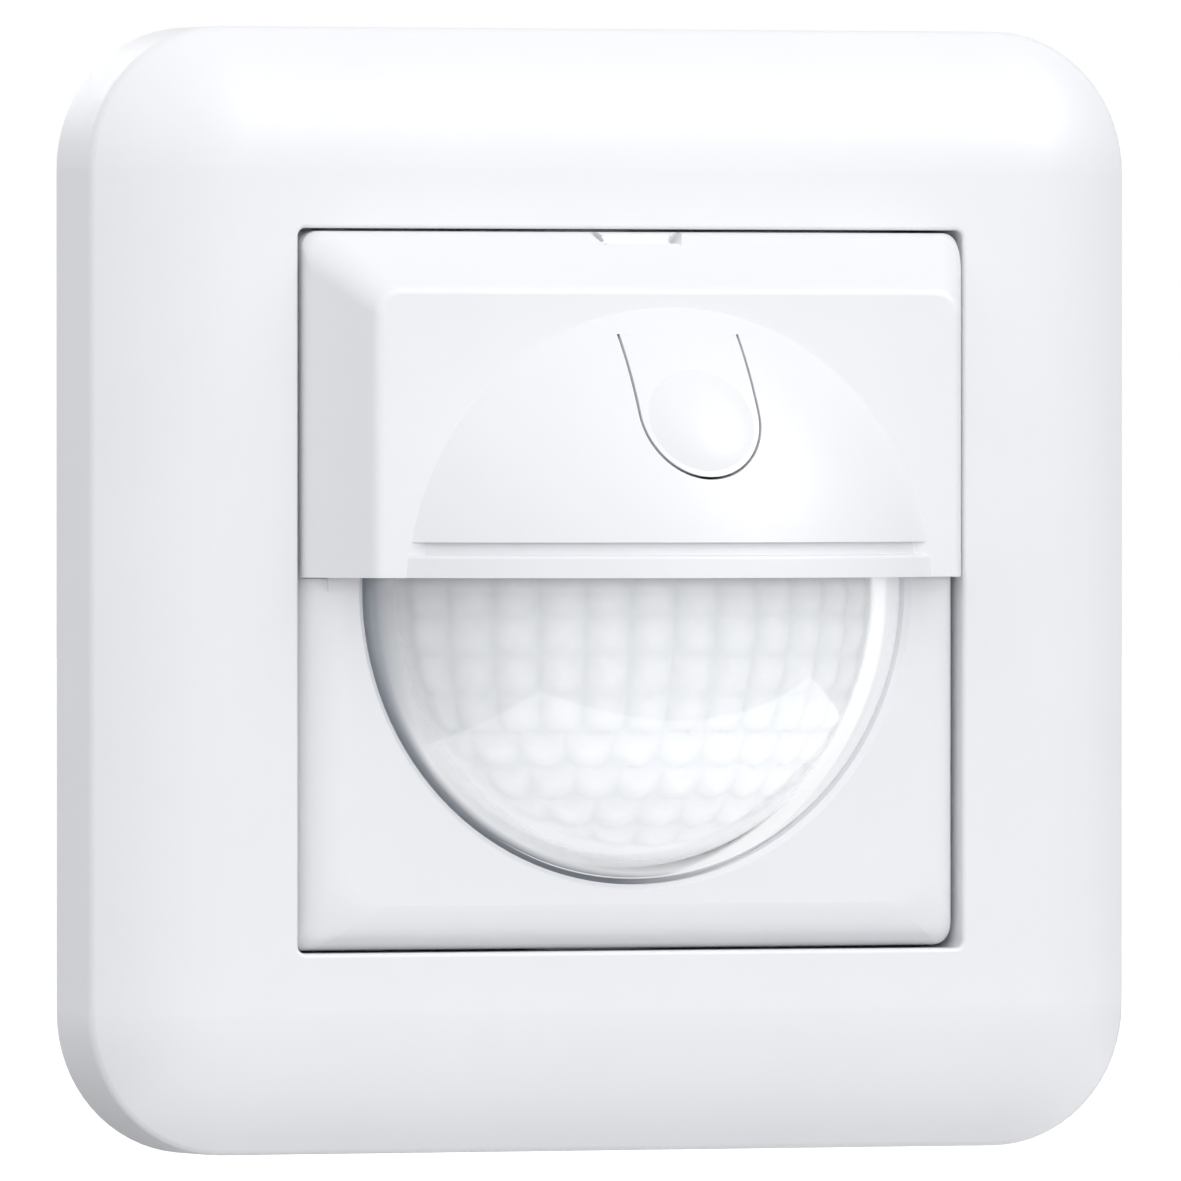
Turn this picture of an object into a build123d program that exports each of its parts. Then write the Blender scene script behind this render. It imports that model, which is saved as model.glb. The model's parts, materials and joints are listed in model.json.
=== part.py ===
from build123d import *
from math import asin, atan2, cos, degrees, radians, sin, sqrt
import os

# A flush wall switch with a 180 degree infrared motion sensor.
# Every shape is drawn with x to the right, y up and z out of the wall, in mm.
# z = 0 is the wall surface, on the axis of the round wall box.
# When a piece is saved it is turned so that the front looks along -Y and +Z is up.
PLACED = Plane.XZ

# Cover frame
FRAME_HALF = 40.5
FRAME_CORNER_R = 10.2
FRAME_WALL_TOP = 6.4
FRAME_FACE = 10.5
FRAME_EDGE_R = 1.0
FRAME_SKIN = 2.0
FRAME_CEILING = 8.6
OPENING_HALF = 26.0
OPENING_CORNER_R = 0.6
OPENING_EDGE_R = 0.3
COLLAR_WALL = 1.4
RIB_OFFSET = 13.0
RIB_THICK = 1.2

# Support ring
RING_HALF = 35.5
RING_THICK = 1.2
RING_CORNER = 6.5
BOX_SCREW_R = 1.75
BOX_SCREW_PCD = 60.0

# Load housing, the box in the wall
LOAD_HALF_X = 20.0
LOAD_HALF_Y = 24.0
LOAD_ROUND_R = 27.8
LOAD_WALL = 1.6
LOAD_DEPTH = 31.0
LOAD_GAP = 0.15
COVER_THICK = 1.2
LOAD_BOARD_TOP = -2.6
BOARD_THICK = 1.6
LOAD_BOARD_BACK = LOAD_BOARD_TOP - BOARD_THICK
RING_SCREW_X = 22.6
RING_SCREW_Y = 13.8

# Sensor module
INSERT_HALF = 25.8
INSERT_CORNER_R = 1.2
MODULE_BACK = 3.4
MODULE_BACK_THICK = 1.4
HOUSING_BACK = MODULE_BACK + MODULE_BACK_THICK
HOUSING_FACE = 11.15
HOUSING_EDGE_R = 3.2
HOUSING_FACE_CORNER_R = 3.0
DECK_THICK = 1.6
DECK_UNDER = HOUSING_FACE - DECK_THICK
SPLIT_Y = 0.9
BOSS = 22.0
LEG_X = 24.1
LEG_Y = 19.2
BOARD_TOP = 7.2
BOARD_BACK = BOARD_TOP - BOARD_THICK

# Hood
HOOD_BACK = 9.3
HOOD_BELT = 10.8
HOOD_FACE = 17.3
HOOD_LOW_Y = 0.96
HOOD_FLOOR_Y = 2.16
HOOD_BELT_HALF = 25.65
HOOD_BELT_TOP = 25.8
HOOD_ROLL_START = 10.2
HOOD_ROLL_END = 11.4
HOOD_ROLL_CORNER_R = 2.4
HOOD_FACE_CORNER_R = 2.0
HOOD_FACE_HALF = 22.7
HOOD_FACE_TOP = 21.67
HOOD_WALL = 1.4
HOOD_INNER_FACE = 15.9
HOOD_TAIL_Y = -10.0

# Dome and lens share one centre on the axis
DOME_CENTRE_Z = -1.5
DOME_R = 27.7
DOME_WALL = 1.5
DOME_LOW_Y = 3.5
GROOVE_R = 26.9
BRIM_R = 27.8
BRIM_TOP_Y = 2.6
ARCH_R = 24.45
LENS_R = 24.2
LENS_WALL = 0.8
LENS_TOP_Y = 2.55
LENS_SKIRT_R = 20.8
LENS_FLANGE_R = 21.9
LENS_HOLE_R = 21.2
LENS_HOLE_CHAMFER = 0.4
LENS_BULKHEAD_R = 24.6

# Button tongue
BUTTON_Y = 12.35
TONGUE_HALF = 4.525
SLOT_WIDTH = 0.2
TONGUE_ROUND_Y = 12.7
HINGE_Y = 18.4
HINGE_GAP = 0.008
PAD_R = 4.05
PAD_BALL_R = 9.4
STEM_R = 1.4
ROD_TOP = 19.5
ROD_R = 1.5
RUNNING_GAP = 0.05

# Dials
DIAL_X = 17.6
DIAL_Y = 17.2
DIAL_R = 2.7
DIAL_SHAFT_R = 1.5

# Infrared sensors, tilted to both sides
PIR_Y = -7.0
PIR_TILT = 35.0
PIR_CAN_R = 4.1
PIR_CAN_HEIGHT = 4.0

# Claws
CLAW_SCREW_X = 23.4
CLAW_SCREW_TIP = -28.6
CLAW_PIVOT_X = 24.2
CLAW_PIVOT_Z = -3.7
CLAW_PIN_R = 0.75
CLAW_HALF_WIDTH = 4.5

# Terminals
POLES = (-11.0, 0.0, 11.0)
WIRE_Y = -17.6
WIRE_R = 1.5
KEY_Y = -12.6
KEY_WIDTH = 3.0
KEY_HEIGHT = 2.6
BLOCK_BACK = -32.2
BLOCK_FRONT = -17.2
CHAMBER_BACK = -22.4

# Plug between the two modules
PIN_Y = 8.55
PIN_PITCH = 2.54
PIN_COUNT = 6
PIN_HALF = 0.32


def block(x0, x1, y0, y1, z0, z1):
    """A box given by its limits."""
    return Pos((x0 + x1) / 2, (y0 + y1) / 2, (z0 + z1) / 2) * Box(x1 - x0, y1 - y0, z1 - z0)


def rod(x, y, z0, z1, r):
    """A round bar along z."""
    return Pos(x, y, (z0 + z1) / 2) * Cylinder(r, z1 - z0)


def slab(half_x, half_y, corner_r, z0, z1):
    """A plate with rounded corners, centred on the axis."""
    outline = RectangleRounded(2 * half_x, 2 * half_y, corner_r)
    return extrude(Plane.XY.offset(z0) * outline, z1 - z0)


def ball(r):
    """A ball about the common centre of dome and lens."""
    return Pos(0, 0, DOME_CENTRE_Z) * Sphere(r)


def mirrored(shape):
    """The same shape on the other side of the axis."""
    return shape.mirror(Plane.YZ)


def four(x, y):
    """The four corners of a rectangle."""
    return [(x, y), (-x, y), (x, -y), (-x, -y)]


def edges_at(shape, z, tol=0.01):
    """Edges that lie flat at one height."""
    return shape.edges().filter_by(
        lambda e: abs(e.bounding_box().min.Z - z) < tol and abs(e.bounding_box().max.Z - z) < tol
    )


# ---------------------------------------------------------------- cover frame
def pillow(half, corner_r, wall_top, face, edge_r):
    """A rounded square whose rim rolls down over the width of its corner radius."""
    straight = half - corner_r
    rise = face - wall_top
    roll_r = (corner_r**2 + rise**2) / (2 * rise)
    wide = straight + roll_r
    dome = block(-wide, wide, -wide, wide, face - roll_r - 2, face)
    dome = fillet(edges_at(dome, face) + dome.edges().filter_by(Axis.Z), roll_r)
    body = dome & slab(half, half, corner_r, 0, face)
    return fillet(edges_at(body, wall_top), edge_r)


def make_cover_frame():
    outer = pillow(FRAME_HALF, FRAME_CORNER_R, FRAME_WALL_TOP, FRAME_FACE, FRAME_EDGE_R)
    hollow = pillow(FRAME_HALF - FRAME_SKIN, FRAME_CORNER_R - FRAME_SKIN, 5.0, FRAME_CEILING, 0.6)
    collar_half = OPENING_HALF + COLLAR_WALL
    hollow -= slab(collar_half, collar_half, 1.5, RING_THICK, FRAME_FACE)
    for turn in (0, 90, 180, 270):
        for side in (-RIB_OFFSET, RIB_OFFSET):
            rib = block(
                OPENING_HALF, FRAME_HALF, side - RIB_THICK / 2, side + RIB_THICK / 2, 1.4, FRAME_FACE
            )
            hollow -= Rot(0, 0, turn) * rib
    frame = outer - hollow
    frame -= slab(OPENING_HALF, OPENING_HALF, OPENING_CORNER_R, -1, FRAME_FACE + 1)
    # room for the heads of the box screws and claw screws under the collar
    for turn in (0, 90):
        frame -= Rot(0, 0, turn) * block(-28.5, 28.5, -4.2, 4.2, 0, 4.4)
    rim = edges_at(frame, FRAME_FACE).filter_by(
        lambda e: max(abs(e.center().X), abs(e.center().Y)) < OPENING_HALF + 0.05
    )
    return fillet(rim, OPENING_EDGE_R)


# --------------------------------------------------------------- support ring
def load_outline(grow=0.0):
    """Flat sided outline of the load housing, inside a circle that enters the box."""
    flat = Rectangle(2 * (LOAD_HALF_X + grow), 2 * (LOAD_HALF_Y + grow))
    return flat & Circle(LOAD_ROUND_R + grow)


def make_support_ring():
    plate = extrude(chamfer(Rectangle(2 * RING_HALF, 2 * RING_HALF).vertices(), RING_CORNER), RING_THICK)
    plate -= extrude(Plane.XY.offset(-1) * load_outline(LOAD_GAP), 4)
    for x, y in ((30, 0), (-30, 0), (0, 30), (0, -30)):
        plate -= rod(x, y, -1, 3, BOX_SCREW_R)
    for x, y in four(RING_SCREW_X, RING_SCREW_Y):
        plate -= rod(x, y, -1, 3, 1.02)
    for x, y in four(LEG_X, LEG_Y):
        plate -= block(x - 1.1, x + 1.1, y - 2.4, y + 2.4, -1, 3)
    # notches that line up neighbouring rings in a multiple frame
    for turn in (0, 90, 180, 270):
        notch = block(RING_HALF - 2.0, RING_HALF + 1, -4.0, 4.0, -1, 3)
        notch += block(RING_HALF - 3.2, RING_HALF + 1, 17.0, 22.0, -1, 3)
        notch += block(RING_HALF - 3.2, RING_HALF + 1, -22.0, -17.0, -1, 3)
        plate -= Rot(0, 0, turn) * notch
    for side in (-1, 1):
        plate -= rod(side * CLAW_SCREW_X, 0, -1, 3, 1.58)
        for up in (-1, 1):
            # ears bent back out of a window, each with the bearing of a claw
            low, high = sorted((up * 4.9, up * 5.9))
            ear = block(-1.8, 1.7, low, high, CLAW_PIVOT_Z - 1.8, 0.2)
            ear = fillet(edges_at(ear, CLAW_PIVOT_Z - 1.8).filter_by(Axis.Y), 1.4)
            ear -= Pos(0, 0, CLAW_PIVOT_Z) * Rot(90, 0, 0) * Cylinder(CLAW_PIN_R + RUNNING_GAP, 20)
            low, high = sorted((up * 5.9, up * 8.6))
            plate -= block(side * CLAW_PIVOT_X - 1.8, side * CLAW_PIVOT_X + 1.7, low, high, -1, 3)
            plate += Pos(side * CLAW_PIVOT_X, 0, 0) * ear
    return plate


# ------------------------------------------------------------- claw mechanism
def make_claw():
    """Right hand claw: a fork hinged behind the ring, its flare pushed out by the nut."""
    inner = [(22.4, -6.1), (22.4, -17.7), (26.15, -23.85), (26.15, -26.5), (27.6, -27.7)]
    outer = [(28.6, -27.0), (27.2, -26.0), (27.2, -23.5), (23.4, -17.3), (23.4, -6.1)]
    strip = extrude(Plane.XZ * make_face(Polyline(*inner, *outer, close=True)), CLAW_HALF_WIDTH, both=True)
    barrel = Pos(CLAW_PIVOT_X, 0, CLAW_PIVOT_Z) * Rot(90, 0, 0) * Cylinder(1.4, 2 * CLAW_HALF_WIDTH + 0.4)
    neck = [(22.9, -3.3), (22.4, -6.3), (23.4, -6.3), (24.6, -4.7)]
    barrel += extrude(Plane.XZ * make_face(Polyline(*neck, close=True)), CLAW_HALF_WIDTH, both=True)
    claw = strip + barrel
    claw -= block(20, 30, -1.95, 1.95, -22.5, 0)
    # teeth that bite the wall of the box
    for y in (-3.0, 0.0, 3.0):
        claw -= Pos(28.3, y, -27.3) * Rot(0, 38, 0) * Rot(0, 0, 45) * Box(1.5, 1.5, 6)
    pin = Pos(CLAW_PIVOT_X, 0, CLAW_PIVOT_Z) * Rot(90, 0, 0) * Cylinder(CLAW_PIN_R, 11.8)
    pin -= block(20, 30, -1.95, 1.95, -8, 0)
    return claw + pin


def make_claw_screw():
    screw = rod(CLAW_SCREW_X, 0, CLAW_SCREW_TIP, RING_THICK, 1.5)
    screw = chamfer(edges_at(screw, CLAW_SCREW_TIP), 0.5)
    head = rod(CLAW_SCREW_X, 0, RING_THICK, 3.1, 2.6)
    head = fillet(edges_at(head, 3.1), 0.7)
    head -= Pos(CLAW_SCREW_X, 0, 3.1) * Box(6, 0.6, 1.6)
    return screw + head


def make_claw_nut():
    nut = block(20.1, 26.0, -3.4, 3.4, -26.0, -23.7)
    nut = chamfer(nut.edges().filter_by(Axis.Z), 0.5)
    return nut - rod(CLAW_SCREW_X, 0, -30, -20, 1.56)


# ---------------------------------------------------------------- load module
def make_load_housing():
    shell = extrude(Plane.XY.offset(-LOAD_DEPTH) * load_outline(), LOAD_DEPTH + RING_THICK)
    cavity = extrude(Plane.XY.offset(-LOAD_DEPTH + LOAD_WALL) * load_outline(-LOAD_WALL), 40)
    back_edges = edges_at(shell, -LOAD_DEPTH)
    shell = fillet(back_edges, 1.2) - cavity
    # ledges that carry the board
    for side in (-1, 1):
        for y in (-14.0, 4.0):
            x0, x1 = sorted((side * 17.0, side * 18.6))
            shell += block(x0, x1, y - 1.5, y + 1.5, -LOAD_DEPTH + LOAD_WALL, LOAD_BOARD_BACK)
    # window for the terminal block and vent slots above it
    shell -= block(-16.25, 16.25, -20.85, -9.15, -LOAD_DEPTH - 1, -LOAD_DEPTH + 3)
    for x in (-12, -8, -4, 0, 4, 8, 12):
        shell -= block(x - 0.6, x + 0.6, 4.0, 14.0, -LOAD_DEPTH - 1, -LOAD_DEPTH + 3)
    # windows for the hooks of the cover
    for side in (-1, 1):
        y0, y1 = sorted((side * 21.0, side * 25.0))
        shell -= block(-4.2, 4.2, y0, y1, -2.4, -1.0)
    # grip ribs outside, along the top and bottom
    for side in (-1, 1):
        for x in (-9, -6, 6, 9):
            y0, y1 = sorted((side * 23.5, side * 24.5))
            shell += block(x - 0.4, x + 0.4, y0, y1, -26, -6)
    return shell


def make_load_cover():
    cover = extrude(Plane.XY.offset(RING_THICK) * load_outline(), COVER_THICK)
    for x, y in four(RING_SCREW_X, RING_SCREW_Y):
        inward = x - 4 if x > 0 else x + 4
        x0, x1 = sorted((inward, x))
        cover += rod(x, y, RING_THICK, RING_THICK + COVER_THICK, 3.0)
        cover += block(x0, x1, y - 3, y + 3, RING_THICK, RING_THICK + COVER_THICK)
    lip = extrude(
        Plane.XY.offset(LOAD_BOARD_TOP) * (load_outline(-LOAD_WALL - 0.1) - load_outline(-LOAD_WALL - 1.3)),
        RING_THICK - LOAD_BOARD_TOP,
    )
    cover += lip
    for side in (-1, 1):
        y0, y1 = sorted((side * 21.8, side * 23.2))
        cover += block(-4.0, 4.0, y0, y1, -2.3, -1.2)
    for x, y in four(RING_SCREW_X, RING_SCREW_Y):
        cover -= rod(x, y, 0, 4, 1.15)
    cover -= block(-9.2, 9.2, PIN_Y - 2.3, PIN_Y + 2.3, 0, 4)
    # raised field, finger holes of the plug and ribs on the front
    for y in (-18, -14, -10, -6, -2):
        cover += block(-12, 12, y - 0.35, y + 0.35, RING_THICK, RING_THICK + COVER_THICK + 0.35)
    return cover


def make_ring_screws():
    screws = None
    for x, y in four(RING_SCREW_X, RING_SCREW_Y):
        top = RING_THICK + COVER_THICK
        head = fillet(edges_at(rod(x, y, top, top + 0.8, 1.9), top + 0.8), 0.4)
        one = head + rod(x, y, -1.8, top, 1.0)
        one -= Pos(x, y, top + 0.8) * Box(2.2, 0.45, 0.9)
        one -= Pos(x, y, top + 0.8) * Box(0.45, 2.2, 0.9)
        screws = one if screws is None else screws + one
    return screws


def make_load_board():
    outline = load_outline(-LOAD_WALL - 0.3)
    board = extrude(Plane.XY.offset(LOAD_BOARD_BACK) * outline, BOARD_THICK)
    for x in POLES:
        board -= block(x - 1.1, x + 1.1, -19.9, -19.0, -6, 0)
    return board


def make_socket():
    socket = block(-9.0, 9.0, PIN_Y - 2.1, PIN_Y + 2.1, LOAD_BOARD_TOP, 2.6)
    socket = chamfer(edges_at(socket, 2.6), 0.3)
    for x in pin_places():
        socket -= block(x - 0.42, x + 0.42, PIN_Y - 0.42, PIN_Y + 0.42, -2.2, 3)
        socket -= Pos(x, PIN_Y, 2.6) * Rot(0, 0, 45) * Cone(0.2, 0.9, 0.7)
    return socket


def pin_places():
    """x of each pin of the plug."""
    start = -(PIN_COUNT - 1) / 2 * PIN_PITCH
    return [start + PIN_PITCH * i for i in range(PIN_COUNT)]


def make_relay():
    top = LOAD_BOARD_BACK
    case = block(-16.2, -1.8, -0.4, 17.2, top - 13.2, top - 1.0)
    case = fillet(case.edges(), 0.7)
    base = block(-16.4, -1.6, -0.6, 17.4, top - 2.4, top - 0.5)
    legs = block(-14.5, -13.5, 1, 1.6, top - 1, top)
    for x, y in ((-4, 1.3), (-14, 15.5), (-4, 15.5)):
        legs += block(x - 0.5, x + 0.5, y - 0.3, y + 0.3, top - 1, top)
    return case + base + legs


def make_film_capacitor():
    top = LOAD_BOARD_BACK
    body = block(1.6, 15.6, 9.2, 15.6, top - 12.0, top - 0.6)
    body = fillet(body.edges(), 0.6)
    return body + rod(3.6, 12.4, top - 1, top, 0.4) + rod(13.6, 12.4, top - 1, top, 0.4)


def make_smoothing_capacitor():
    top = LOAD_BOARD_BACK
    can = rod(9.2, 2.6, top - 15.0, top - 0.6, 4.8)
    can = fillet(edges_at(can, top - 15.0), 0.6)
    groove = rod(9.2, 2.6, top - 3.0, top - 2.2, 6) - rod(9.2, 2.6, top - 3.1, top - 2.1, 4.45)
    can -= groove
    for turn in (0, 60, 120):
        can -= Pos(9.2, 2.6, top - 15.0) * Rot(0, 0, turn) * Box(5.6, 0.25, 0.4)
    return can + rod(7.9, 2.6, top - 1, top, 0.35) + rod(10.5, 2.6, top - 1, top, 0.35)


def make_varistor():
    top = LOAD_BOARD_BACK
    disc = Pos(-9.4, -4.2, top - 6.2) * Rot(90, 0, 0) * Cylinder(4.4, 3.2)
    disc = fillet(disc.edges().filter_by(GeomType.CIRCLE), 1.2)
    return disc + rod(-11.9, -4.2, top - 4.0, top, 0.4) + rod(-6.9, -4.2, top - 4.0, top, 0.4)


def make_choke():
    top = LOAD_BOARD_BACK
    core = rod(0.4, -6.0, top - 9.4, top - 8.2, 3.4) + rod(0.4, -6.0, top - 1.6, top - 0.4, 3.4)
    core += rod(0.4, -6.0, top - 9.4, top, 1.2)
    for i in range(9):
        height = top - 7.7 + 0.7 * i
        core += Pos(0.4, -6.0, height) * Torus(2.4, 0.42)
    core += rod(0.4, -6.0, top - 8.3, top - 1.5, 2.45)
    return core


def make_fuse():
    top = LOAD_BOARD_BACK
    tube = Pos(10.0, -5.2, top - 2.6) * Rot(0, 90, 0) * Cylinder(1.5, 7.4)
    for x in (6.6, 13.4):
        tube += Pos(x, -5.2, top - 2.6) * Rot(0, 90, 0) * Cylinder(1.75, 2.2)
    tube += block(6.3, 6.9, -5.5, -4.9, top - 2.6, top)
    tube += block(13.1, 13.7, -5.5, -4.9, top - 2.6, top)
    return tube


# ------------------------------------------------------------------ terminals
def make_terminal_block():
    body = block(-16.2, 16.2, -20.8, -9.2, BLOCK_BACK, BLOCK_FRONT)
    body = fillet(body.edges().filter_by(Axis.Z), 0.8)
    body = chamfer(edges_at(body, BLOCK_BACK), 0.4)
    for x in POLES:
        body -= block(x - 3.2, x + 3.2, -19.9, -10.4, CHAMBER_BACK, BLOCK_FRONT + 1)
        body -= rod(x, WIRE_Y, BLOCK_BACK - 1, CHAMBER_BACK + 1, WIRE_R)
        half_w = KEY_WIDTH / 2 + RUNNING_GAP
        half_h = KEY_HEIGHT / 2 + RUNNING_GAP
        body -= block(x - half_w, x + half_w, KEY_Y - half_h, KEY_Y + half_h, BLOCK_BACK - 1, CHAMBER_BACK + 1)
    for x in (-5.5, 5.5):
        body -= block(x - 0.5, x + 0.5, -22, -8, BLOCK_BACK - 1, BLOCK_BACK + 1.0)
    return body


def make_release_key(x):
    key = block(
        x - KEY_WIDTH / 2,
        x + KEY_WIDTH / 2,
        KEY_Y - KEY_HEIGHT / 2,
        KEY_Y + KEY_HEIGHT / 2,
        BLOCK_BACK - 1.6,
        CHAMBER_BACK + 0.4,
    )
    key = fillet(edges_at(key, BLOCK_BACK - 1.6), 0.4)
    return key - Pos(x, KEY_Y, BLOCK_BACK - 1.6) * Box(1.8, 0.5, 1.0)


def make_contact_bars():
    bars = None
    for x in POLES:
        bar = block(x - 2.4, x + 2.4, -19.9, -19.15, CHAMBER_BACK, -8.0)
        bar += block(x - 1.0, x + 1.0, -19.85, -19.15, -8.0, -1.8)
        bars = bar if bars is None else bars + bar
    return bars


def make_clamp_springs():
    path = [(-19.1, -18.0), (-11.2, -18.0), (-10.7, -18.4), (-10.9, -19.1), (-17.7, -21.7)]
    back = [(-17.5, -22.1), (-10.6, -19.45), (-10.45, -18.2), (-11.0, -17.6), (-19.1, -17.6)]
    springs = None
    for x in POLES:
        face = Plane.YZ * make_face(Polyline(*path, *back, close=True))
        one = Pos(x, 0, 0) * extrude(face, 2.2, both=True)
        springs = one if springs is None else springs + one
    return springs


# -------------------------------------------------------------- sensor module
def cushion(half, back, face, roll, corner_low, corner_high, steps=6):
    """A square block whose rim rolls over and whose corners open out towards the face."""
    sections = []
    for i in range(steps + 1):
        turn = radians(90 * i / steps)
        size = 2 * (half - roll * (1 - cos(turn)))
        height = face - roll * (1 - sin(turn))
        corner = corner_low + (corner_high - corner_low) * (1 - cos(turn))
        sections.append(Plane.XY.offset(height) * RectangleRounded(size, size, corner))
    return slab(half, half, corner_low, back, face - roll) + loft(sections)


def make_front_housing():
    base = cushion(
        INSERT_HALF, HOUSING_BACK, HOUSING_FACE, HOUSING_EDGE_R, INSERT_CORNER_R, HOUSING_FACE_CORNER_R
    )
    # above the split the block steps in, so that the hood can close round it
    base -= block(-40, 40, SPLIT_Y, 40, HOOD_BACK, 40)
    deck = slab(HOOD_BELT_HALF - 1.7, 23.5, 2.0, HOUSING_BACK, HOUSING_FACE)
    body = base + (deck & block(-40, 40, 0, 40, 0, 40))
    body -= slab(24.1, 24.1, 2.0, 0, 7.9)
    body -= slab(22.2, 22.2, 1.0, 7.0, DECK_UNDER)
    for x, y in four(BOSS, BOSS):
        body += rod(x, y, HOUSING_BACK, DECK_UNDER + 0.2, 1.9) & slab(
            23.6, 23.6, 2.0, HOUSING_BACK, DECK_UNDER + 0.2
        )
    for x, y in four(BOSS, BOSS):
        body -= rod(x, y, 0, 9.3, 0.85)
    # the opening for the lens, a full circle cut off at the top by the bulkhead
    below = block(-40, 40, -40, BRIM_TOP_Y, 0, 40)
    hole = rod(0, 0, 7, 20, LENS_HOLE_R)
    flare_low = HOUSING_FACE - LENS_HOLE_CHAMFER
    flare = Pos(0, 0, flare_low + 0.25) * Cone(LENS_HOLE_R, LENS_HOLE_R + 0.5, 0.5)
    body -= (hole + flare) & below
    # bulkhead that closes the top of the lens
    sheet = block(-30, 30, BRIM_TOP_Y, BRIM_TOP_Y + 1.0, DECK_UNDER, 30)
    disc = Pos(0, 0, DOME_CENTRE_Z) * Rot(90, 0, 0) * Cylinder(LENS_BULKHEAD_R, 20)
    body += sheet & disc & block(-LENS_HOLE_R - 0.4, LENS_HOLE_R + 0.4, 0, 10, 0, 40)
    # guide of the push rod
    tower = rod(0, BUTTON_Y, DECK_UNDER, 17.0, 2.9)
    for turn in (0, 90, 180, 270):
        gusset = Polyline((2.5, HOUSING_FACE - 0.3), (6.2, HOUSING_FACE - 0.3), (2.5, 15.6), close=True)
        web = extrude(Plane.XZ * make_face(gusset), 0.5, both=True)
        tower += Pos(0, BUTTON_Y, 0) * Rot(0, 0, turn + 45) * web
    body += tower
    body -= rod(0, BUTTON_Y, 7, 20, ROD_R + RUNNING_GAP)
    for side in (-1, 1):
        body -= rod(side * DIAL_X, DIAL_Y, 7, 20, DIAL_SHAFT_R + RUNNING_GAP)
        # scale marks round each dial
        for turn in range(-135, 136, 45):
            mark = Pos(side * DIAL_X, DIAL_Y, 0) * Rot(0, 0, turn) * block(-0.15, 0.15, 3.1, 4.2, 11, 11.35)
            body += mark
        # slot for the latch of the hood
        body -= block(side * 20.8 - 1.1, side * 20.8 + 1.1, 6.0, 10.6, 8, 20)
    return body


def make_lens():
    z_in = DOME_CENTRE_Z + sqrt(LENS_R**2 - LENS_SKIRT_R**2)
    inner_r = LENS_R - LENS_WALL
    skirt_in = LENS_SKIRT_R - LENS_WALL
    z_inner = DOME_CENTRE_Z + sqrt(inner_r**2 - skirt_in**2)
    half = radians(30)
    outer = ThreePointArc(
        (LENS_SKIRT_R, z_in),
        (LENS_R * sin(half), DOME_CENTRE_Z + LENS_R * cos(half)),
        (0, DOME_CENTRE_Z + LENS_R),
    )
    inner = ThreePointArc(
        (0, DOME_CENTRE_Z + inner_r),
        (inner_r * sin(half), DOME_CENTRE_Z + inner_r * cos(half)),
        (skirt_in, z_inner),
    )
    flange_top = DECK_UNDER - 0.05
    flange_low = flange_top - 0.8
    tip = Line((0, DOME_CENTRE_Z + LENS_R), (0, DOME_CENTRE_Z + inner_r))
    foot = Polyline(
        (skirt_in, z_inner),
        (skirt_in, flange_low),
        (LENS_FLANGE_R, flange_low),
        (LENS_FLANGE_R, flange_top),
        (LENS_SKIRT_R, flange_top),
        (LENS_SKIRT_R, z_in),
    )
    dome = revolve(Plane.XZ * make_face(outer + tip + inner + foot), Axis.Z)
    return dome & block(-40, 40, -40, LENS_TOP_Y, 0, 40)


def make_lens_retainer():
    low = DECK_UNDER - 0.85 - 1.0
    ring = rod(0, 0, low, low + 1.0, 22.1) - rod(0, 0, low - 1, low + 2, 19.4)
    ring &= block(-40, 40, -40, 2.4, 0, 40)
    for turn in (-150, -90, -30):
        ring += Rot(0, 0, turn) * block(18.2, 20.4, -2.0, 2.0, low, low + 1.0)
    ring += block(-22.0, -18.4, 0.4, 2.4, low, low + 1.0) + block(18.4, 22.0, 0.4, 2.4, low, low + 1.0)
    return ring


def make_module_back():
    plate = slab(25.5, 25.5, 3.4, MODULE_BACK, HOUSING_BACK)
    plate = chamfer(edges_at(plate, MODULE_BACK), 0.4)
    lip = slab(23.9, 23.9, 1.8, HOUSING_BACK, BOARD_BACK) - slab(22.7, 22.7, 1.2, 0, 10)
    for x, y in four(BOSS, BOSS):
        lip -= rod(x, y, 4, 10, 2.1)
    plate += lip
    for x, y in four(BOSS, BOSS):
        plate -= rod(x, y, 0, 10, 1.1)
        plate -= rod(x, y, 0, MODULE_BACK + 0.8, 1.9)
    plate -= block(-8.4, 8.4, PIN_Y - 1.5, PIN_Y + 1.5, 0, 10)
    # spring legs that hold the module in the ring
    for x, y in four(LEG_X, LEG_Y):
        side = 1 if x > 0 else -1
        plate += block(x - 0.5, x + 0.5, y - 1.9, y + 1.9, -1.4, MODULE_BACK + 0.5)
        x0, x1 = sorted((x + side * 0.4, x + side * 0.8))
        barb = block(x0, x1, y - 1.9, y + 1.9, -1.1, -0.3)
        plate += barb
    # vent slots
    for x in (-12, -8, -4, 0, 4, 8, 12):
        plate -= block(x - 0.6, x + 0.6, -16, -6, 0, 10)
    return plate


def make_module_screws():
    screws = None
    for x, y in four(BOSS, BOSS):
        one = rod(x, y, MODULE_BACK + 0.1, MODULE_BACK + 0.8, 1.7) + rod(x, y, MODULE_BACK + 0.8, 9.0, 0.8)
        one -= Pos(x, y, MODULE_BACK + 0.1) * Box(1.9, 0.4, 0.8)
        one -= Pos(x, y, MODULE_BACK + 0.1) * Box(0.4, 1.9, 0.8)
        screws = one if screws is None else screws + one
    return screws


def make_sensor_board():
    board = slab(23.5, 23.5, 1.5, BOARD_BACK, BOARD_TOP)
    for x, y in four(BOSS, BOSS):
        board -= rod(x, y, 4, 10, 2.1)
    for x in pin_places():
        board -= rod(x, PIN_Y, 4, 10, 0.5)
    return board


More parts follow.
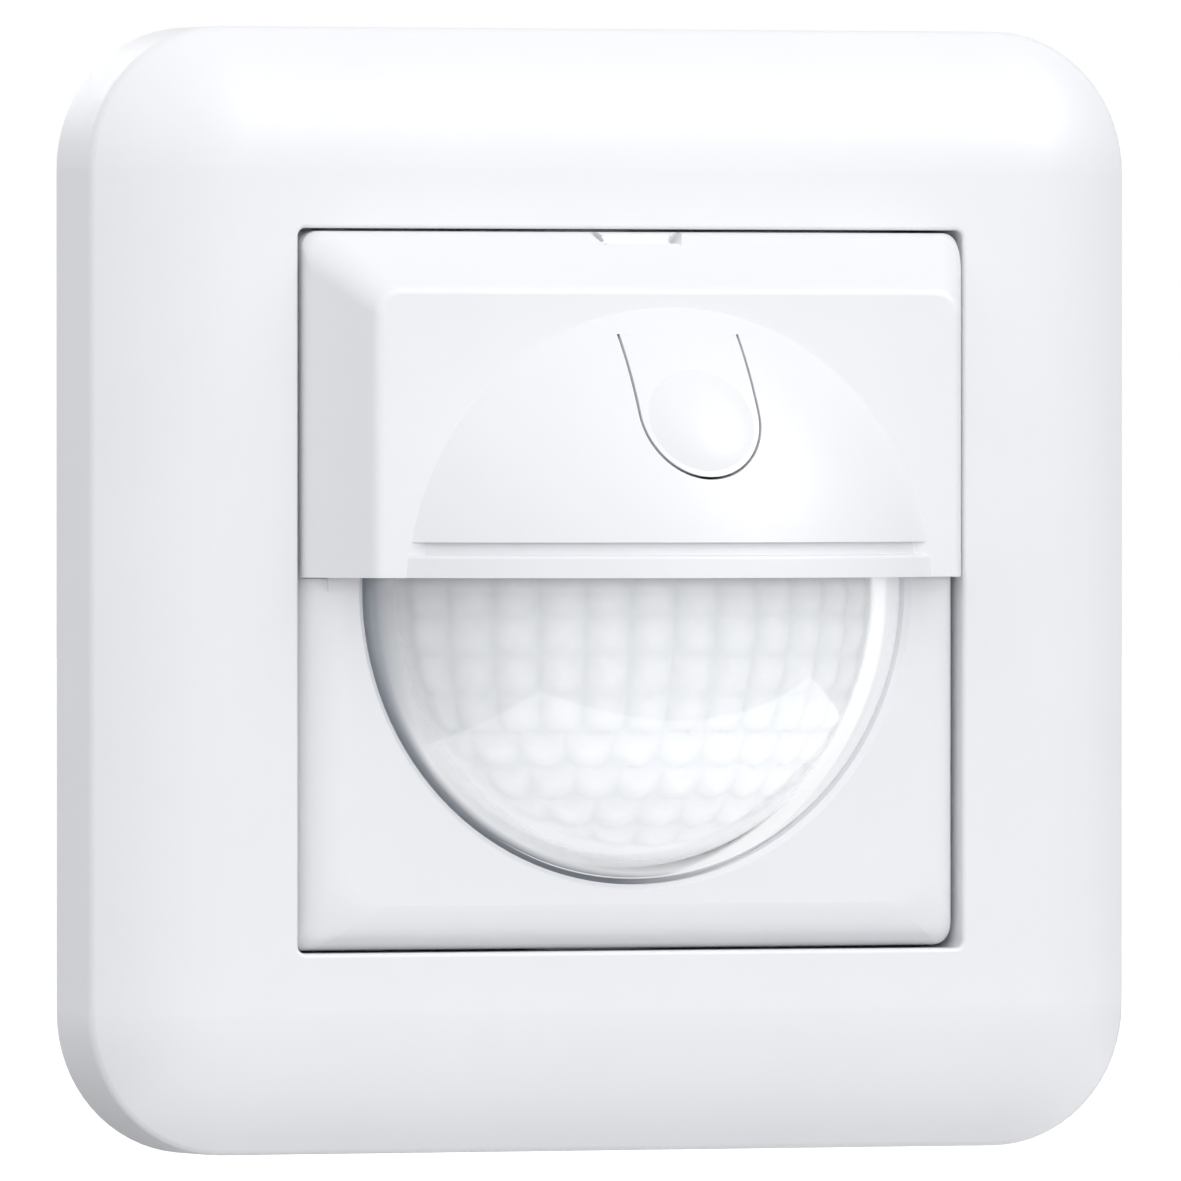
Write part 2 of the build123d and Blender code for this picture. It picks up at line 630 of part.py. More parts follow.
def make_pir_holder():
    wedge = Polyline((-8.2, 8.2), (8.2, 8.2), (0.4, 8.2 + 5.46), (-0.4, 8.2 + 5.46), close=True)
    holder = Pos(0, PIR_Y, 0) * extrude(Plane.XZ * make_face(wedge), 5.2, both=True)
    holder += block(-9.2, 9.2, PIR_Y - 5.2, PIR_Y + 5.2, BOARD_TOP, 8.2)
    return holder


def pir_place(side):
    """Seat of one infrared sensor on its side of the holder."""
    return Pos(side * 4.3, PIR_Y, 8.2 + 2.73) * Rot(0, side * PIR_TILT, 0)


def make_pir_can(side):
    can = rod(0, 0, 0, 0.5, 4.5) + fillet(
        edges_at(rod(0, 0, 0, PIR_CAN_HEIGHT, PIR_CAN_R), PIR_CAN_HEIGHT), 0.5
    )
    can -= block(-2.6, 2.6, -1.9, 1.9, PIR_CAN_HEIGHT - 0.6, PIR_CAN_HEIGHT + 1)
    return pir_place(side) * can


def make_pir_window(side):
    pane = block(-2.6, 2.6, -1.9, 1.9, PIR_CAN_HEIGHT - 0.6, PIR_CAN_HEIGHT - 0.1)
    return pir_place(side) * pane


def make_light_sensor():
    body = block(6.9, 10.1, -16.2, -13.8, BOARD_TOP, BOARD_TOP + 1.0)
    eye = Pos(8.5, -15.0, BOARD_TOP + 0.9) * Sphere(1.0)
    return body + (eye & block(6, 11, -18, -12, BOARD_TOP + 0.5, 12))


def make_status_led():
    body = rod(-8.5, -15.0, BOARD_TOP, BOARD_TOP + 2.4, 1.5)
    cap = Pos(-8.5, -15.0, BOARD_TOP + 2.4) * Sphere(1.5)
    return body + cap + rod(-8.5, -15.0, BOARD_TOP, BOARD_TOP + 0.6, 1.9)


def make_switch_body():
    body = block(-2.4, 2.4, BUTTON_Y - 2.4, BUTTON_Y + 2.4, BOARD_TOP, BOARD_TOP + 1.8)
    body = chamfer(edges_at(body, BOARD_TOP + 1.8), 0.2)
    for side in (-1, 1):
        for y in (-1.6, 1.6):
            x0, x1 = sorted((side * 2.2, side * 3.2))
            body += block(x0, x1, BUTTON_Y + y - 0.35, BUTTON_Y + y + 0.35, BOARD_TOP, BOARD_TOP + 0.3)
    return body - rod(0, BUTTON_Y, BOARD_TOP + 1.2, 12, 1.1 + RUNNING_GAP)


def make_switch_plunger():
    return rod(0, BUTTON_Y, BOARD_TOP + 1.55, DECK_UNDER + 0.05, 1.1)


def make_push_rod():
    shaft = rod(0, BUTTON_Y, DECK_UNDER + 0.1, ROD_TOP, ROD_R)
    shaft = fillet(edges_at(shaft, ROD_TOP), 0.5)
    return shaft + rod(0, BUTTON_Y, 17.5, 18.3, 2.3)


def make_trimmer(side):
    x = side * DIAL_X
    body = block(x - 2.9, x + 2.9, DIAL_Y - 2.9, DIAL_Y + 2.9, BOARD_TOP, BOARD_TOP + 1.8)
    body = chamfer(body.edges().filter_by(Axis.Z), 1.0)
    for dx in (-1.8, 0, 1.8):
        body += block(x + dx - 0.3, x + dx + 0.3, DIAL_Y - 3.6, DIAL_Y - 2.8, BOARD_TOP, BOARD_TOP + 0.4)
    return body - rod(x, DIAL_Y, BOARD_TOP + 0.5, 12, DIAL_SHAFT_R + RUNNING_GAP)


def make_dial(side):
    x = side * DIAL_X
    knob = rod(x, DIAL_Y, HOUSING_FACE + 0.15, 13.0, DIAL_R)
    knob = chamfer(edges_at(knob, 13.0), 0.35)
    knob += rod(x, DIAL_Y, BOARD_TOP + 0.7, HOUSING_FACE + 0.3, DIAL_SHAFT_R)
    knob -= block(x - 0.4, x + 0.4, DIAL_Y - 2.2, DIAL_Y + 2.2, 12.1, 14)
    for turn in range(18, 360, 18):
        flute = Pos(x, DIAL_Y, 12.2) * Rot(0, 0, turn) * Pos(DIAL_R + 0.1, 0, 0) * Cylinder(0.25, 3)
        knob -= flute
    # pointer notch at the rim
    return knob - Pos(x, DIAL_Y, 0) * block(-0.3, 0.3, 2.1, 3.2, 11.9, 14)


def make_control_chip():
    chip = block(-13.0, -6.0, 11.2, 18.2, BOARD_TOP + 0.15, BOARD_TOP + 1.2)
    chip = chamfer(edges_at(chip, BOARD_TOP + 1.2), 0.15)
    for i in range(8):
        at = 0.5 + 0.857 * i
        chip += block(-13.9, -5.1, 11.05 + at, 11.35 + at, BOARD_TOP, BOARD_TOP + 0.45)
        chip += block(at - 13.15, at - 12.85, 10.3, 19.1, BOARD_TOP, BOARD_TOP + 0.45)
    return chip - rod(-12.2, 17.4, BOARD_TOP + 1.1, 10, 0.35)


def make_board_chips():
    chips = None
    spots = [(6, 6), (9, 6), (12, 6), (6, 13), (9, 13), (12, 11), (-6, 5), (-10, 5), (15, 4), (-16, 6)]
    spots += [(-16, 11), (0, 18), (4, 18), (-4, 18), (-14, -9), (14, -9), (-6, -17), (0, -16), (6, -17)]
    for x, y in spots:
        one = block(x - 0.8, x + 0.8, y - 0.45, y + 0.45, BOARD_TOP, BOARD_TOP + 0.6)
        chips = one if chips is None else chips + one
    return chips


def make_header_body():
    body = block(-7.8, 7.8, PIN_Y - 1.25, PIN_Y + 1.25, 3.0, BOARD_BACK)
    for x in pin_places():
        body -= block(x - PIN_HALF, x + PIN_HALF, PIN_Y - PIN_HALF, PIN_Y + PIN_HALF, 0, 10)
        if x > pin_places()[0]:
            groove = Pos(x - PIN_PITCH / 2, 0, 0)
            body -= groove * block(-0.25, 0.25, PIN_Y - 2, PIN_Y - 0.95, 2, 6)
            body -= groove * block(-0.25, 0.25, PIN_Y + 0.95, PIN_Y + 2, 2, 6)
    return body


def make_header_pins():
    pins = None
    for x in pin_places():
        one = block(x - PIN_HALF, x + PIN_HALF, PIN_Y - PIN_HALF, PIN_Y + PIN_HALF, -1.6, BOARD_TOP + 0.9)
        one = chamfer(edges_at(one, -1.6), 0.12)
        pins = one if pins is None else pins + one
    return pins


# ----------------------------------------------------------- hood and button
def hood_outline(half, top, corner_r, low):
    """Rounded rectangle that reaches from low to top."""
    return Pos(0, (top + low) / 2) * RectangleRounded(2 * half, top - low, corner_r)


def tongue_prism(half, top):
    """A U shape, round end down, that cuts through the dome."""
    shape = Pos(0, TONGUE_ROUND_Y) * Circle(half)
    shape += Pos(0, (TONGUE_ROUND_Y + top) / 2) * Rectangle(2 * half, top - TONGUE_ROUND_Y)
    return extrude(Plane.XY.offset(14) * shape, 20)


def dome_shell():
    """Wall of the dome alone."""
    return ball(DOME_R) - ball(DOME_R - DOME_WALL)


def hood_block():
    """Outside of the hood without the dome: an upright wall that rolls over into sloping sides."""
    rise = HOOD_FACE - HOOD_BELT
    side_slope = atan2(HOOD_BELT_HALF - HOOD_FACE_HALF, rise)
    top_slope = atan2(HOOD_BELT_TOP - HOOD_FACE_TOP, rise)
    roll_rise = HOOD_ROLL_END - HOOD_ROLL_START
    side_r = roll_rise / sin(side_slope)
    top_r = roll_rise / sin(top_slope)
    steps = 4
    sections = []
    for i in range(steps + 1):
        up = roll_rise * i / steps
        half = HOOD_BELT_HALF - side_r + sqrt(side_r**2 - up**2)
        top = HOOD_BELT_TOP - top_r + sqrt(top_r**2 - up**2)
        corner = INSERT_CORNER_R + (HOOD_ROLL_CORNER_R - INSERT_CORNER_R) * i / steps
        outline = hood_outline(half, top, corner, HOOD_TAIL_Y)
        sections.append(Plane.XY.offset(HOOD_ROLL_START + up) * outline)
    face = hood_outline(HOOD_FACE_HALF, HOOD_FACE_TOP, HOOD_FACE_CORNER_R, HOOD_TAIL_Y)
    wall = extrude(Plane.XY.offset(HOOD_BACK) * hood_outline(
        HOOD_BELT_HALF, HOOD_BELT_TOP, INSERT_CORNER_R, HOOD_TAIL_Y
    ), HOOD_ROLL_START - HOOD_BACK)
    slopes = loft([sections[-1], Plane.XY.offset(HOOD_FACE) * face], ruled=True)
    outer = wall + loft(sections) + slopes
    outer -= block(-40, 40, -40, HOOD_LOW_Y, 0, 40)
    around = edges_at(outer, HOOD_FACE).filter_by(lambda e: e.center().Y > HOOD_LOW_Y + 0.01)
    return fillet(around, 0.8)


def make_hood():
    outer = hood_block()
    front = block(-30, 30, DOME_LOW_Y, 30, 15, 40)
    outer += ball(DOME_R) & front
    outer += ball(GROOVE_R) & block(-30, 30, 0, DOME_LOW_Y + 0.1, 15, 40)
    brim = ball(BRIM_R) & block(-30, 30, HOOD_LOW_Y - 1, BRIM_TOP_Y, 12, 40)
    brim_edge = brim.edges().filter_by(
        lambda e: abs(e.center().Y - BRIM_TOP_Y) < 0.01 and e.center().Z > 13 and e.length > 30
    )
    outer += fillet(brim_edge, 0.3)
    outer -= block(-40, 40, -40, HOOD_LOW_Y, 0, 40)
    in_half = HOOD_BELT_HALF - 1.5
    in_top = HOOD_BELT_TOP - 1.6
    low = hood_outline(in_half, in_top, 2.2, HOOD_FLOOR_Y)
    high = hood_outline(21.76, 20.87, 1.0, HOOD_FLOOR_Y)
    hollow = extrude(Plane.XY.offset(HOOD_BACK - 1) * low, HOOD_BELT - HOOD_BACK + 1)
    hollow += loft([Plane.XY.offset(HOOD_BELT) * low, Plane.XY.offset(HOOD_INNER_FACE) * high], ruled=True)
    hollow += ball(DOME_R - DOME_WALL) & block(-30, 30, HOOD_FLOOR_Y, 30, 14, 40)
    hollow += block(-in_half, in_half, HOOD_LOW_Y - 1, HOOD_FLOOR_Y + 3, 0, HOUSING_FACE + 0.05)
    hood = outer - hollow - ball(ARCH_R)
    hood -= tongue_prism(TONGUE_HALF + SLOT_WIDTH, HINGE_Y)
    # pry notch in the top edge, with a deeper pit at each end
    hood -= block(-2.7, 2.7, 24.95, 30, 11.0, 13)
    for side in (-1, 1):
        hood -= Pos(side * 2.95, 25.3, 0) * Rot(0, 0, -side * 35) * block(-0.3, 0.3, -0.4, 3, 10.0, 13)
    # latches
    for side in (-1, 1):
        x = side * 20.8
        latch = block(x - 0.6, x + 0.6, 6.6, 10.0, 9.8, HOOD_INNER_FACE + 0.5)
        x0, x1 = sorted((x - side * 0.5, x - side * 0.9))
        latch += block(x0, x1, 6.6, 10.0, 9.9, 10.6)
        hood += latch
    # ribs under the front wall
    for side in (-1, 1):
        x0, x1 = sorted((side * 6.6, side * 7.6))
        rib = block(x0, x1, 4.5, 17.5, 14, 26) & (ball(DOME_R - 0.5) - ball(DOME_R - DOME_WALL - 1.2))
        hood += rib
    return hood


def make_button_tongue():
    sheet = dome_shell() & tongue_prism(TONGUE_HALF, HINGE_Y - HINGE_GAP)
    # raised pad, a smaller ball that stands out of the dome round the press point
    tilt = degrees(asin(BUTTON_Y / DOME_R))
    rim_at = sqrt(DOME_R**2 - PAD_R**2)
    pad_centre = rim_at - sqrt(PAD_BALL_R**2 - PAD_R**2)
    axis = Pos(0, 0, DOME_CENTRE_Z) * Rot(-tilt, 0, 0)
    pad = axis * (Pos(0, 0, pad_centre) * Rot(90, 0, 0) * Sphere(PAD_BALL_R) & rod(0, 0, DOME_R - 1.0, DOME_R + 3, PAD_R))
    tongue = sheet + pad
    tongue += rod(0, BUTTON_Y, ROD_TOP + 0.05, 22.2, STEM_R)
    # relief under the hinge line, so that the tongue can swing in
    hinge_z = DOME_CENTRE_Z + sqrt(DOME_R**2 - HINGE_Y**2)
    relief = Pos(0, HINGE_Y - HINGE_GAP, hinge_z) * Rot(-5, 0, 0) * block(-8, 8, 0, 4, -6, 0)
    return tongue - relief


def save(name, shape):
    export_step(PLACED * shape, "parts/" + name + ".step")


def main():
    os.makedirs("parts", exist_ok=True)
    claw = make_claw()
    claw_screw = make_claw_screw()
    claw_nut = make_claw_nut()
    pieces = {
        "cover_frame": make_cover_frame(),
        "support_ring": make_support_ring(),
        "claw_right": claw,
        "claw_left": mirrored(claw),
        "claw_screw_right": claw_screw,
        "claw_screw_left": mirrored(claw_screw),
        "claw_nut_right": claw_nut,
        "claw_nut_left": mirrored(claw_nut),
        "load_housing": make_load_housing(),
        "load_cover": make_load_cover(),
        "ring_screws": make_ring_screws(),
        "load_board": make_load_board(),
        "socket": make_socket(),
        "relay": make_relay(),
        "film_capacitor": make_film_capacitor(),
        "smoothing_capacitor": make_smoothing_capacitor(),
        "varistor": make_varistor(),
        "choke": make_choke(),
        "fuse": make_fuse(),
        "terminal_block": make_terminal_block(),
        "release_key_left": make_release_key(POLES[0]),
        "release_key_middle": make_release_key(POLES[1]),
        "release_key_right": make_release_key(POLES[2]),
        "contact_bars": make_contact_bars(),
        "clamp_springs": make_clamp_springs(),
        "front_housing": make_front_housing(),
        "lens": make_lens(),
        "lens_retainer": make_lens_retainer(),
        "module_back": make_module_back(),
        "module_screws": make_module_screws(),
        "sensor_board": make_sensor_board(),
        "pir_holder": make_pir_holder(),
        "pir_can_left": make_pir_can(-1),
        "pir_can_right": make_pir_can(1),
        "pir_window_left": make_pir_window(-1),
        "pir_window_right": make_pir_window(1),
        "light_sensor": make_light_sensor(),
        "status_led": make_status_led(),
        "switch_body": make_switch_body(),
        "switch_plunger": make_switch_plunger(),
        "push_rod": make_push_rod(),
        "time_trimmer": make_trimmer(-1),
        "brightness_trimmer": make_trimmer(1),
        "time_dial": make_dial(-1),
        "brightness_dial": make_dial(1),
        "control_chip": make_control_chip(),
        "board_chips": make_board_chips(),
        "header_body": make_header_body(),
        "header_pins": make_header_pins(),
        "hood": make_hood(),
        "button_tongue": make_button_tongue(),
    }
    for name, shape in pieces.items():
        save(name, shape)


main()
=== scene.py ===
import json
from math import asin, atan2, cos, degrees, pi, radians, sin, sqrt

import bmesh
import bpy
from mathutils import Matrix, Vector


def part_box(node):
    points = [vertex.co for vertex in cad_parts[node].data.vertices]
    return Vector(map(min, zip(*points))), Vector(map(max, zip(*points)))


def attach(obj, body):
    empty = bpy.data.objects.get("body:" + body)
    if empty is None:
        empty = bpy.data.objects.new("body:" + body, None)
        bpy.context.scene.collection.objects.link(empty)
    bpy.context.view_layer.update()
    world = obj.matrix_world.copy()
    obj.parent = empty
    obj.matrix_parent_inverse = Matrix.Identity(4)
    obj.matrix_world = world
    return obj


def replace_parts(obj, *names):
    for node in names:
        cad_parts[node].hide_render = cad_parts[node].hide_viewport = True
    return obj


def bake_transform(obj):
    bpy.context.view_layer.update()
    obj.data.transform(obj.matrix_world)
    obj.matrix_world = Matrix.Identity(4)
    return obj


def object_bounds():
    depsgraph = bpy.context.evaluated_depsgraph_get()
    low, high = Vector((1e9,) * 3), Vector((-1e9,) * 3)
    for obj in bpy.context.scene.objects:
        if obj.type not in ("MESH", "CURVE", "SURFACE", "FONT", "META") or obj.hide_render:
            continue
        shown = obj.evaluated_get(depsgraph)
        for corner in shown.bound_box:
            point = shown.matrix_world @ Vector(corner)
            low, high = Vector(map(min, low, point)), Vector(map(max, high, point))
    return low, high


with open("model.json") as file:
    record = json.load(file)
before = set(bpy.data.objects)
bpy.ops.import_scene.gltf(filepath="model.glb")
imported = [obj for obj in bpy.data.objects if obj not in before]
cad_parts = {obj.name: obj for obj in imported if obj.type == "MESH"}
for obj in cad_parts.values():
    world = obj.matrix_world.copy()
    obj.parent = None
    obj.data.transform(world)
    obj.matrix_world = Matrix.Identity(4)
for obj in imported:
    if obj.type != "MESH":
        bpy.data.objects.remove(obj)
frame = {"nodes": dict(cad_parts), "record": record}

MM = 0.001
PER_METRE = 1000.0
cad_low, cad_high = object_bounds()
nodes = frame["nodes"]


# ------------------------------------------------------------ node graph helpers
def add(tree, kind, inputs=None, **settings):
    """Adds a shader node. Inputs are numbers, colours or sockets, by name or place."""
    made = tree.nodes.new("ShaderNode" + kind)
    for key, value in settings.items():
        setattr(made, key, value)
    for key, value in (inputs or {}).items():
        socket = made.inputs[key]
        if isinstance(value, bpy.types.NodeSocket):
            tree.links.new(value, socket)
        else:
            socket.default_value = value
    return made


def new_material(name):
    """An empty node material and its tree."""
    material = bpy.data.materials.new(name)
    material.use_nodes = True
    material.node_tree.nodes.clear()
    return material, material.node_tree


def finish_material(tree, shader):
    out = tree.nodes.new("ShaderNodeOutputMaterial")
    tree.links.new(shader.outputs[0], out.inputs["Surface"])


def place(tree, stretch=(1, 1, 1)):
    """Position on the piece in millimetres, stretched along the given axes."""
    coord = add(tree, "TexCoord")
    scale = tuple(PER_METRE * s for s in stretch)
    mapped = add(tree, "Mapping", {"Vector": coord.outputs["Object"], "Scale": scale})
    return mapped.outputs["Vector"]


def noise(tree, vector, size, detail=2.0, rough=0.5):
    """Soft noise with features of a given size in millimetres."""
    made = add(tree, "TexNoise", {"Vector": vector, "Scale": 1.0 / size, "Detail": detail,
                                  "Roughness": rough})
    return made.outputs["Fac"]


def spread(tree, value, low, high, start=0.3, end=0.7):
    """Maps a value between start and end onto low to high."""
    made = add(tree, "MapRange", {"Value": value, "From Min": start, "From Max": end,
                                  "To Min": low, "To Max": high})
    return made.outputs["Result"]


def math(tree, operation, a, b=0.0, clamp=False):
    made = add(tree, "Math", {0: a, 1: b}, operation=operation, use_clamp=clamp)
    return made.outputs[0]


def mix(tree, share, a, b, blend="MIX"):
    made = add(tree, "Mix", {"Factor": share}, data_type="RGBA", blend_type=blend)
    for socket, value in ((made.inputs[6], a), (made.inputs[7], b)):
        if isinstance(value, bpy.types.NodeSocket):
            tree.links.new(value, socket)
        else:
            socket.default_value = (*value[:3], 1.0)
    return made.outputs[2]


def bump(tree, height, distance_mm):
    made = add(tree, "Bump", {"Height": height, "Distance": distance_mm * MM, "Strength": 1.0})
    return made.outputs["Normal"]


def tone(colour, gain):
    return tuple(min(1.0, c * gain) for c in colour)


# ------------------------------------------------------------------ materials
def moulded(name, colour, rough=0.42, vary=0.05, grain=0.12, depth=0.004, mottle=0.03, coat=0.0):
    """Injection moulded plastic: spark eroded grain, faint flow mottling, uneven gloss."""
    material, tree = new_material(name)
    at = place(tree)
    cloud = noise(tree, at, 9.0, 3.0)
    fine = noise(tree, at, 1.1, 2.0)
    colour_a = mix(tree, spread(tree, cloud, 0.0, 1.0), tone(colour, 1 - mottle), tone(colour, 1 + mottle))
    colour_b = mix(tree, spread(tree, fine, 0.0, 0.35), colour_a, tone(colour, 1 - 0.6 * mottle))
    cells = add(tree, "TexVoronoi", {"Vector": at, "Scale": 1.0 / grain, "Randomness": 1.0},
                feature="SMOOTH_F1")
    pits = math(tree, "ADD", cells.outputs["Distance"], noise(tree, at, grain * 2.6, 2.0))
    gloss = spread(tree, fine, rough - vary, rough + vary)
    shader = add(tree, "BsdfPrincipled", {
        "Base Color": colour_b, "Roughness": gloss, "IOR": 1.5,
        "Normal": bump(tree, pits, depth), "Coat Weight": coat, "Coat Roughness": 0.15,
    })
    finish_material(tree, shader)
    return material


def plated(name, colour, warm, rough=0.28, rolled=(1, 1, 1), depth=0.006, spangle=3.0):
    """Zinc or nickel plated metal: rolled streaks, cloudy passivation, small scuffs."""
    material, tree = new_material(name)
    at = place(tree)
    streak = noise(tree, place(tree, rolled), 0.35, 4.0, 0.65)
    cloud = noise(tree, at, spangle, 3.0, 0.6)
    tint = mix(tree, spread(tree, cloud, 0.0, 1.0, 0.35, 0.65), colour, warm)
    worn = mix(tree, spread(tree, streak, 0.0, 0.35), tint, tone(colour, 0.72))
    hazy = spread(tree, cloud, rough - 0.05, rough + 0.09)
    gloss = math(tree, "ADD", hazy, spread(tree, streak, -0.04, 0.06))
    shader = add(tree, "BsdfPrincipled", {
        "Base Color": worn, "Metallic": 1.0, "Roughness": gloss,
        "Normal": bump(tree, streak, depth),
    })
    finish_material(tree, shader)
    return material


def printed_board(name):
    """Glass fibre board under green resist: tracks, a ground fill, tinned pads and holes painted near black
    as painted shade.
    """
    material, tree = new_material(name)
    at = place(tree)
    coord = add(tree, "SeparateXYZ", {"Vector": at})
    weave = add(tree, "TexWave", {"Vector": at, "Scale": 1.6, "Distortion": 0.4}, bands_direction="X")
    weave_b = add(tree, "TexWave", {"Vector": at, "Scale": 1.6, "Distortion": 0.4}, bands_direction="Z")
    cloth = math(tree, "MULTIPLY", weave.outputs["Fac"], weave_b.outputs["Fac"])
    flat = add(tree, "CombineXYZ", {"X": coord.outputs["X"], "Y": coord.outputs["Z"], "Z": 0.0}).outputs[0]
    runs = add(tree, "TexVoronoi", {"Vector": flat, "Scale": 0.33, "Randomness": 0.75},
               distance="CHEBYCHEV", feature="F1")
    rings = math(tree, "FRACT", math(tree, "MULTIPLY", runs.outputs["Distance"], 3.4))
    track = spread(tree, rings, 0.0, 1.0, 0.42, 0.50)
    spots = add(tree, "TexVoronoi", {"Vector": flat, "Scale": 0.39, "Randomness": 0.55}, feature="F1")
    pad = spread(tree, spots.outputs["Distance"], 1.0, 0.0, 0.17, 0.20)
    # painted shade: the holes are near-black spots in the pads, standing in for the shade inside them
    hole_shade = spread(tree, spots.outputs["Distance"], 1.0, 0.0, 0.06, 0.085)
    resist = mix(tree, track, (0.010, 0.085, 0.032), (0.022, 0.17, 0.058))
    resist = mix(tree, math(tree, "MULTIPLY", cloth, 0.25), resist, (0.03, 0.20, 0.08))
    tinned = mix(tree, noise(tree, at, 0.7), (0.62, 0.62, 0.60), (0.82, 0.81, 0.78))
    surface = mix(tree, pad, resist, tinned)
    surface = mix(tree, hole_shade, surface, (0.01, 0.01, 0.01))
    normal = add(tree, "SeparateXYZ", {"Vector": add(tree, "NewGeometry").outputs["Normal"]})
    face = spread(tree, math(tree, "ABSOLUTE", normal.outputs["Y"]), 0.0, 1.0, 0.4, 0.6)
    layers = noise(tree, place(tree, (0.2, 4, 0.2)), 1.0)
    edge = mix(tree, layers, (0.42, 0.40, 0.22), (0.58, 0.55, 0.33))
    shader = add(tree, "BsdfPrincipled", {
        "Base Color": mix(tree, face, edge, surface),
        "Metallic": math(tree, "MULTIPLY", pad, math(tree, "MULTIPLY", face, 0.9)),
        "Roughness": spread(tree, pad, 0.32, 0.24, 0.0, 1.0),
        "Normal": bump(tree, math(tree, "ADD", track, math(tree, "MULTIPLY", cloth, 0.3)), 0.03),
    })
    finish_material(tree, shader)
    return material


def clear_epoxy(name, colour, density=0.5, rough=0.12):
    """Cast resin, clear or tinted, with a faint haze and flow lines inside."""
    material, tree = new_material(name)
    at = place(tree)
    haze = noise(tree, at, 0.8, 3.0)
    body = add(tree, "BsdfPrincipled", {
        "Base Color": mix(tree, haze, tone(colour, 0.85), colour), "Roughness": rough,
        "Coat Weight": 1.0, "Coat Roughness": 0.05, "Normal": bump(tree, haze, 0.01),
        "Alpha": spread(tree, haze, density, min(1.0, density + 0.2)),
    })
    finish_material(tree, body)
    return material


def silicon_filter(name):
    """Coated silicon window: dark mirror with a faint blue and violet bloom."""
    material, tree = new_material(name)
    at = place(tree)
    bloom = noise(tree, at, 2.0, 1.0)
    facing = add(tree, "LayerWeight", {"Blend": 0.4}).outputs["Facing"]
    colour = mix(tree, facing, (0.022, 0.022, 0.035), (0.10, 0.06, 0.14))
    shader = add(tree, "BsdfPrincipled", {
        "Base Color": mix(tree, spread(tree, bloom, 0.0, 0.6), colour, (0.03, 0.04, 0.09)),
        "Metallic": 0.35, "Roughness": spread(tree, bloom, 0.07, 0.14), "Specular IOR Level": 0.9,
        "Normal": bump(tree, bloom, 0.002),
    })
    finish_material(tree, shader)
    return material


def sleeved(name, colour, stripe):
    """Shrink sleeve of a capacitor: glossy, with a pale dashed polarity stripe."""
    material, tree = new_material(name)
    at = place(tree)
    wrinkle = noise(tree, place(tree, (1, 0.3, 1)), 0.8, 3.0)
    low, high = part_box("smoothing_capacitor")
    centre = (low + high) / 2 * PER_METRE
    where = add(tree, "SeparateXYZ", {"Vector": at})
    dx = math(tree, "SUBTRACT", where.outputs["X"], centre.x)
    side = spread(tree, dx, 0.0, 1.0, 3.3, 3.5)
    dash = math(tree, "FRACT", math(tree, "MULTIPLY", where.outputs["Y"], 0.33))
    band = math(tree, "MULTIPLY", side, spread(tree, dash, 1.0, 0.55, 0.55, 0.6))
    shader = add(tree, "BsdfPrincipled", {
        "Base Color": mix(tree, band, colour, stripe), "Roughness": spread(tree, wrinkle, 0.16, 0.3),
        "Coat Weight": 0.5, "Coat Roughness": 0.1, "Normal": bump(tree, wrinkle, 0.02),
    })
    finish_material(tree, shader)
    return material


def wound(name, colour):
    """Enamelled wire laid turn by turn, each turn painted darker at its sides as painted shade and lighter
    on its crown as painted sheen.
    """
    material, tree = new_material(name)
    at = place(tree)
    turns = add(tree, "TexWave", {"Vector": at, "Scale": 1.1, "Distortion": 0.25, "Detail": 1.0},
                bands_direction="Y", wave_profile="SIN")
    # painted shade between the turns and painted sheen on their crowns
    shade = mix(tree, turns.outputs["Fac"], tone(colour, 0.35), colour)
    shader = add(tree, "BsdfPrincipled", {
        "Base Color": mix(tree, noise(tree, at, 1.6), shade, tone(colour, 0.8), "MULTIPLY"),
        "Metallic": 0.85, "Roughness": spread(tree, noise(tree, at, 0.5), 0.22, 0.36),
        "Coat Weight": 0.6, "Normal": bump(tree, turns.outputs["Fac"], 0.08),
    })
    finish_material(tree, shader)
    return material


